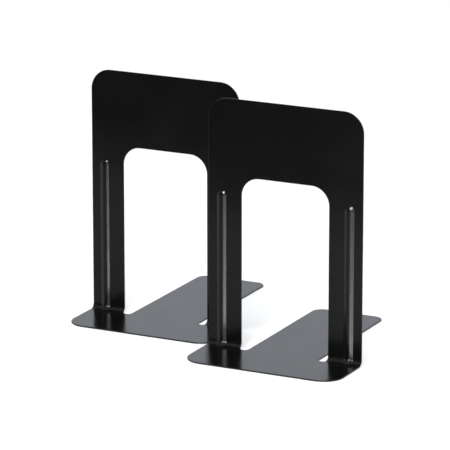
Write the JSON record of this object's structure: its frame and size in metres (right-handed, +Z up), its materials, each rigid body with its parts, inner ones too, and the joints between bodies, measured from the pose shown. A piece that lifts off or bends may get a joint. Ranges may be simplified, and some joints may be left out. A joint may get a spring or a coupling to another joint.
{
  "type": "book end pair",
  "caption": "Free-standing pressed steel book ends, each a folded L with a front flange, a windowed upright with beaded legs, and a flat tongue that goes under the books.",
  "frame": {"origin": "on the floor, at the middle of the rectangle that the pair stands on", "axes": "+X along the width of the uprights, to the right; +Y the way both tongues point, under the books; +Z up"},
  "size_m": [0.2956, 0.2516, 0.228],
  "materials": {
    "black_enamel": "black baked enamel on sheet steel, semi-gloss"
  },
  "bodies": {
    "left": {"left_bookend": "black_enamel"},
    "right": {"right_bookend": "black_enamel"}
  },
  "joints": [
    {"name": "right_slide", "type": "slide", "parent": "left", "child": "right", "axis": [0, -1, 0], "range_m": [0, 0.3]}
  ]
}
